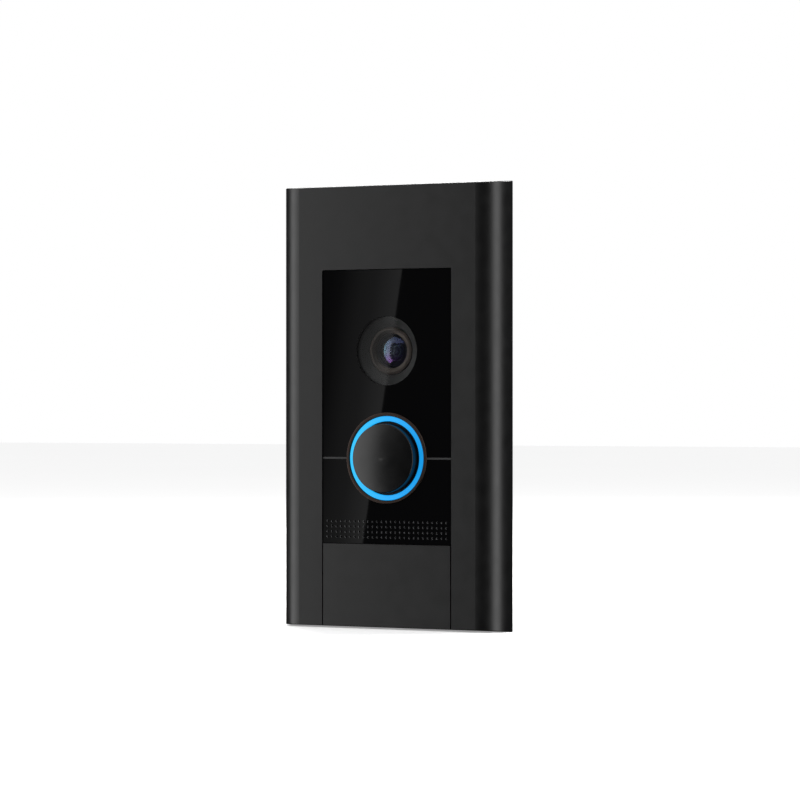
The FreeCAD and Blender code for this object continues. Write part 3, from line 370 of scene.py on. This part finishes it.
def inner_lens():
    """Inner lens: a dark pupil inside pale and green rings, on a near-black disc. The pale ring is a
    painted glint and the green ring a painted reflection.
    """
    material, tree, shader, _ = new_material("inner_lens_glass")
    middle = centre_of("middle_lens")
    away = radius_from(tree, middle[0], middle[2])
    disc_radius = 0.0027
    # Pale ring near the middle: painted glint; green ring further out: painted reflection.
    rings_with_painted_glint = ramp(tree, spread(tree, away, 0, disc_radius, 0, 1),
                 [(0.0, (0.004, 0.004, 0.005)), (0.13, (0.05, 0.05, 0.055)),
                  (0.22, (0.02, 0.02, 0.022)), (0.30, (0.001, 0.001, 0.001)),
                  (0.44, (0.001, 0.001, 0.001)), (0.48, (0.05, 0.075, 0.05)),
                  (0.56, (0.02, 0.045, 0.02)), (0.64, (0.003, 0.006, 0.012)),
                  (1.0, (0.002, 0.002, 0.008))])
    tree.links.new(rings_with_painted_glint, shader.inputs["Base Color"])
    shader.inputs["Roughness"].default_value = 0.08
    return material


def ridged(name, node, colour, pitch, rough=0.5):
    """Turned part with fine concentric ridges about its own axis."""
    material, tree, shader, _ = new_material(name)
    middle = centre_of(node)
    away = radius_from(tree, middle[0], middle[2])
    wave = math_node(tree, "SINE", math_node(tree, "MULTIPLY", away, 2 * math.pi / pitch))
    dark = tuple(part * 0.8 for part in colour)
    tree.links.new(ramp(tree, spread(tree, wave, -1, 1, 0, 1), [(0.2, dark), (0.8, colour)]),
                   shader.inputs["Base Color"])
    tree.links.new(spread(tree, noise(tree, 800, 2), 0.3, 0.7, rough - 0.04, rough + 0.04),
                   shader.inputs["Roughness"])
    bump(tree, shader, wave, 0.3, 0.00001)
    shader.inputs["Specular IOR Level"].default_value = 0.25
    return material


def led_material():
    """White lamp body, yellower where the phosphor is thick."""
    material, tree, shader, _ = new_material("led_white")
    tint = ramp(tree, noise(tree, 900, 2),
                [(0.4, (0.75, 0.70, 0.42)), (0.6, (0.85, 0.82, 0.66))])
    tree.links.new(tint, shader.inputs["Base Color"])
    shader.inputs["Roughness"].default_value = 0.25
    return material


def lamp_material():
    """Dark dome of an infrared lamp."""
    return plastic("lamp_dark", (0.03, 0.012, 0.022), rough=0.12, strength=0.05)


LOOKS = {
    "faceplate": SATIN, "lower_trim_panel": SATIN, "security_screw": STEEL,
    "camera_window": window_material(), "speaker_panel": panel_material(), "divider_strips": DIVIDER,
    "window_tape": TAPE, "speaker_mesh": mesh_cloth(), "chassis": FRAME, "faceplate_seal": RUBBER,
    "button_bezel": BEZEL, "light_ring": light_material(), "button_guide": TAPE, "button_cap": BUTTON,
    "button_spring": STEEL, "button_switch_body": CHIP, "button_switch_plunger": CREAM,
    "ring_board": BOARD, "ring_leds": led_material(), "ring_board_screws": ZINC,
    "camera_funnel": ridged("funnel_grey", "camera_funnel", (0.006, 0.006, 0.0063), 0.0004),
    "lens_bezel": LENS_METAL,
    "lens_barrel": ridged("barrel_black", "lens_barrel", (0.006, 0.006, 0.007), 0.00035),
    "front_lens": coated_lens_painted_reflection(), "middle_lens": inner_lens(),
    "ir_filter": plastic("filter_glass", (0.05, 0.09, 0.09), rough=0.08, strength=0.05),
    "image_sensor": plastic("sensor_dark", (0.03, 0.035, 0.05), rough=0.1, strength=0.05),
    "lens_holder": CHIP, "sensor_board": BOARD, "sensor_connector": CREAM, "sensor_board_screws": ZINC,
    "front_board": BOARD, "ir_leds": lamp_material(), "acoustic_gasket": RUBBER, "microphone": BRASS,
    "speaker_frame": CHIP, "speaker_diaphragm": FRAME, "speaker_magnet": STEEL,
    "mounting_bracket": ZINC, "wall_gasket": RUBBER, "rear_housing": FRAME, "housing_seal": RUBBER,
    "main_board": BOARD, "processor": CHIP, "heat_spreader": ALUMINIUM, "ring_flex": FILM,
    "stack_connector": CREAM, "power_board": BOARD, "power_transformer": FERRITE, "capacitors": SLEEVE,
    "network_jack": CHIP, "jack_contacts": GOLD, "reset_switch_body": CHIP, "reset_switch_plunger": CREAM,
    "reset_button": CREAM, "body_screws": ZINC, "housing_screws": ZINC, "power_board_screws": ZINC,
    "standoffs": BRASS,
}
for name, thing in NODES.items():
    thing.data.materials.clear()
    thing.data.materials.append(LOOKS[name])


# ---------------------------------------------------------------- the return spring

spring_node = NODES["button_spring"]
spring = bpy.data.objects.new("return_spring", spring_node.data.copy())
spring.matrix_world = spring_node.matrix_world.copy()
bpy.context.scene.collection.objects.link(spring)
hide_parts("button_spring")
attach(spring, "doorbell_body")
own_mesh(spring)


# ---------------------------------------------------------------- floor, lights and camera

FLOOR_Z = CAD_BOX[0][2]
FLOOR_REACH = 4
FRONT_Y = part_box("faceplate")[0][1]
CAMERA_TURN = math.radians(29.05)
CAMERA_DISTANCE = 0.9557
CAMERA_AIM_X = 0.0044


def flat_mesh(name, corners):
    """One flat face of the set, not part of the doorbell."""
    mesh = bpy.data.meshes.new(name)
    mesh.from_pydata(corners, [], [tuple(range(len(corners)))])
    thing = bpy.data.objects.new(name, mesh)
    bpy.context.scene.collection.objects.link(thing)
    return thing


floor = flat_mesh("floor", [(side * FLOOR_REACH, end * FLOOR_REACH, FLOOR_Z)
                            for side, end in ((-1, -1), (1, -1), (1, 1), (-1, 1))])
floor_look, tree, shader, _ = new_material("floor_white")
tree.links.new(ramp(tree, noise(tree, 4, 2), [(0.3, (0.89, 0.89, 0.89)), (0.7, (0.9, 0.9, 0.9))]),
               shader.inputs["Base Color"])
shader.inputs["Roughness"].default_value = 0.9
shader.inputs["Specular IOR Level"].default_value = 0.0
shader.inputs["Emission Color"].default_value = (1, 1, 1, 1)
shader.inputs["Emission Strength"].default_value = 0.3
floor.data.materials.append(floor_look)
floor.visible_glossy = False
floor.visible_diffuse = False
floor.visible_shadow = False

# White where the camera sees it, nearly black to the reflections.
world = bpy.data.worlds.new("studio")
bpy.context.scene.world = world
world.use_nodes = True
sky = world.node_tree.nodes["Background"]
path = world.node_tree.nodes.new("ShaderNodeLightPath")
tint = world.node_tree.nodes.new("ShaderNodeMix")
tint.data_type = "RGBA"
tint.inputs["A"].default_value = (0.025, 0.025, 0.026, 1)
tint.inputs["B"].default_value = (1, 1, 1, 1)
world.node_tree.links.new(path.outputs["Is Camera Ray"], tint.inputs["Factor"])
world.node_tree.links.new(tint.outputs["Result"], sky.inputs["Color"])
sky.inputs["Strength"].default_value = 1.0


def card(name, bearing, distance, left, right, low, high, power, stops, lean=0.0):
    """Glowing card that faces the front glass, its brightness varying across its width."""
    mesh = bpy.data.meshes.new(name)
    mesh.from_pydata([(left, 0, low), (right, 0, low), (right, 0, high), (left, 0, high)],
                     [], [(0, 1, 2, 3)])
    thing = bpy.data.objects.new(name, mesh)
    bpy.context.scene.collection.objects.link(thing)
    angle = math.radians(bearing)
    thing.location = (distance * math.sin(angle), FRONT_Y - distance * math.cos(angle), 0)
    thing.rotation_mode = "XYZ"
    thing.rotation_euler = (0, math.radians(lean), angle)
    material, tree, shader, output = new_material(name)
    tree.nodes.remove(shader)
    glow = tree.nodes.new("ShaderNodeEmission")
    parts = tree.nodes.new("ShaderNodeSeparateXYZ")
    tree.links.new(spot(tree), parts.inputs["Vector"])
    across = spread(tree, parts.outputs["X"], left, right, 0, 1)
    grey = [(place, (level, level, level)) for place, level in stops]
    tree.links.new(ramp(tree, across, grey), glow.inputs["Color"])
    glow.inputs["Strength"].default_value = power
    tree.links.new(glow.outputs["Emission"], output.inputs["Surface"])
    mesh.materials.append(material)
    thing.visible_camera = False
    thing.visible_shadow = False


def lamp(name, bearing, elevation, distance, size, power):
    """Soft lamp that only the sides and back need."""
    light = bpy.data.lights.new(name, "AREA")
    light.shape = "DISK"
    light.size = size
    light.energy = power
    thing = bpy.data.objects.new(name, light)
    side, rise = math.radians(bearing), math.radians(elevation)
    thing.location = (distance * math.sin(side) * math.cos(rise),
                      FRONT_Y - distance * math.cos(side) * math.cos(rise),
                      distance * math.sin(rise))
    bpy.context.scene.collection.objects.link(thing)
    direction = Vector((0, FRONT_Y, 0)) - thing.location
    thing.rotation_euler = direction.to_track_quat("-Z", "Y").to_euler()


card("left_box", -56, 0.6, -0.242, 0.242, -0.45, 0.45, 4.7,
     [(0.0, 0.2), (0.15, 0.68), (0.3, 0.65), (0.5, 0.5), (1.0, 0.37)])
card("glass_card", -31.5, 0.6, -0.03, 0.0211, -0.3, 0.3, 0.4,
     [(0.0, 0.07), (0.4, 0.08), (0.5, 0.14), (0.67, 0.4), (0.79, 0.5), (1.0, 1.0)], lean=8.2)
card("right_box", 67, 0.6, -0.22, 0.22, -0.45, 0.45, 3.8,
     [(0.0, 0.1), (0.3, 0.85), (0.5, 1.0), (0.7, 0.8), (1.0, 0.1)])
lamp("back_left", 215, 48, 0.9, 0.35, 8)
lamp("back_right", 140, 48, 0.9, 0.35, 8)

sun_data = bpy.data.lights.new("overhead", "SUN")
sun_data.energy = 2.1
sun_data.angle = math.radians(120)
sun = bpy.data.objects.new("overhead", sun_data)
sun.location = (0, 0, 1)
bpy.context.scene.collection.objects.link(sun)

camera_data = bpy.data.cameras.new("camera")
camera = bpy.data.objects.new("camera", camera_data)
bpy.context.scene.collection.objects.link(camera)
camera.location = (CAMERA_AIM_X + CAMERA_DISTANCE * math.sin(CAMERA_TURN),
                   FRONT_Y - CAMERA_DISTANCE * math.cos(CAMERA_TURN), 0)
camera.rotation_euler = (math.radians(90), 0, CAMERA_TURN)
camera_data.sensor_width = 36
camera_data.lens = 157.96
camera_data.shift_y = 0.00784
camera_data.clip_start = 0.01
bpy.context.scene.camera = camera
bpy.context.scene.view_settings.view_transform = "Standard"
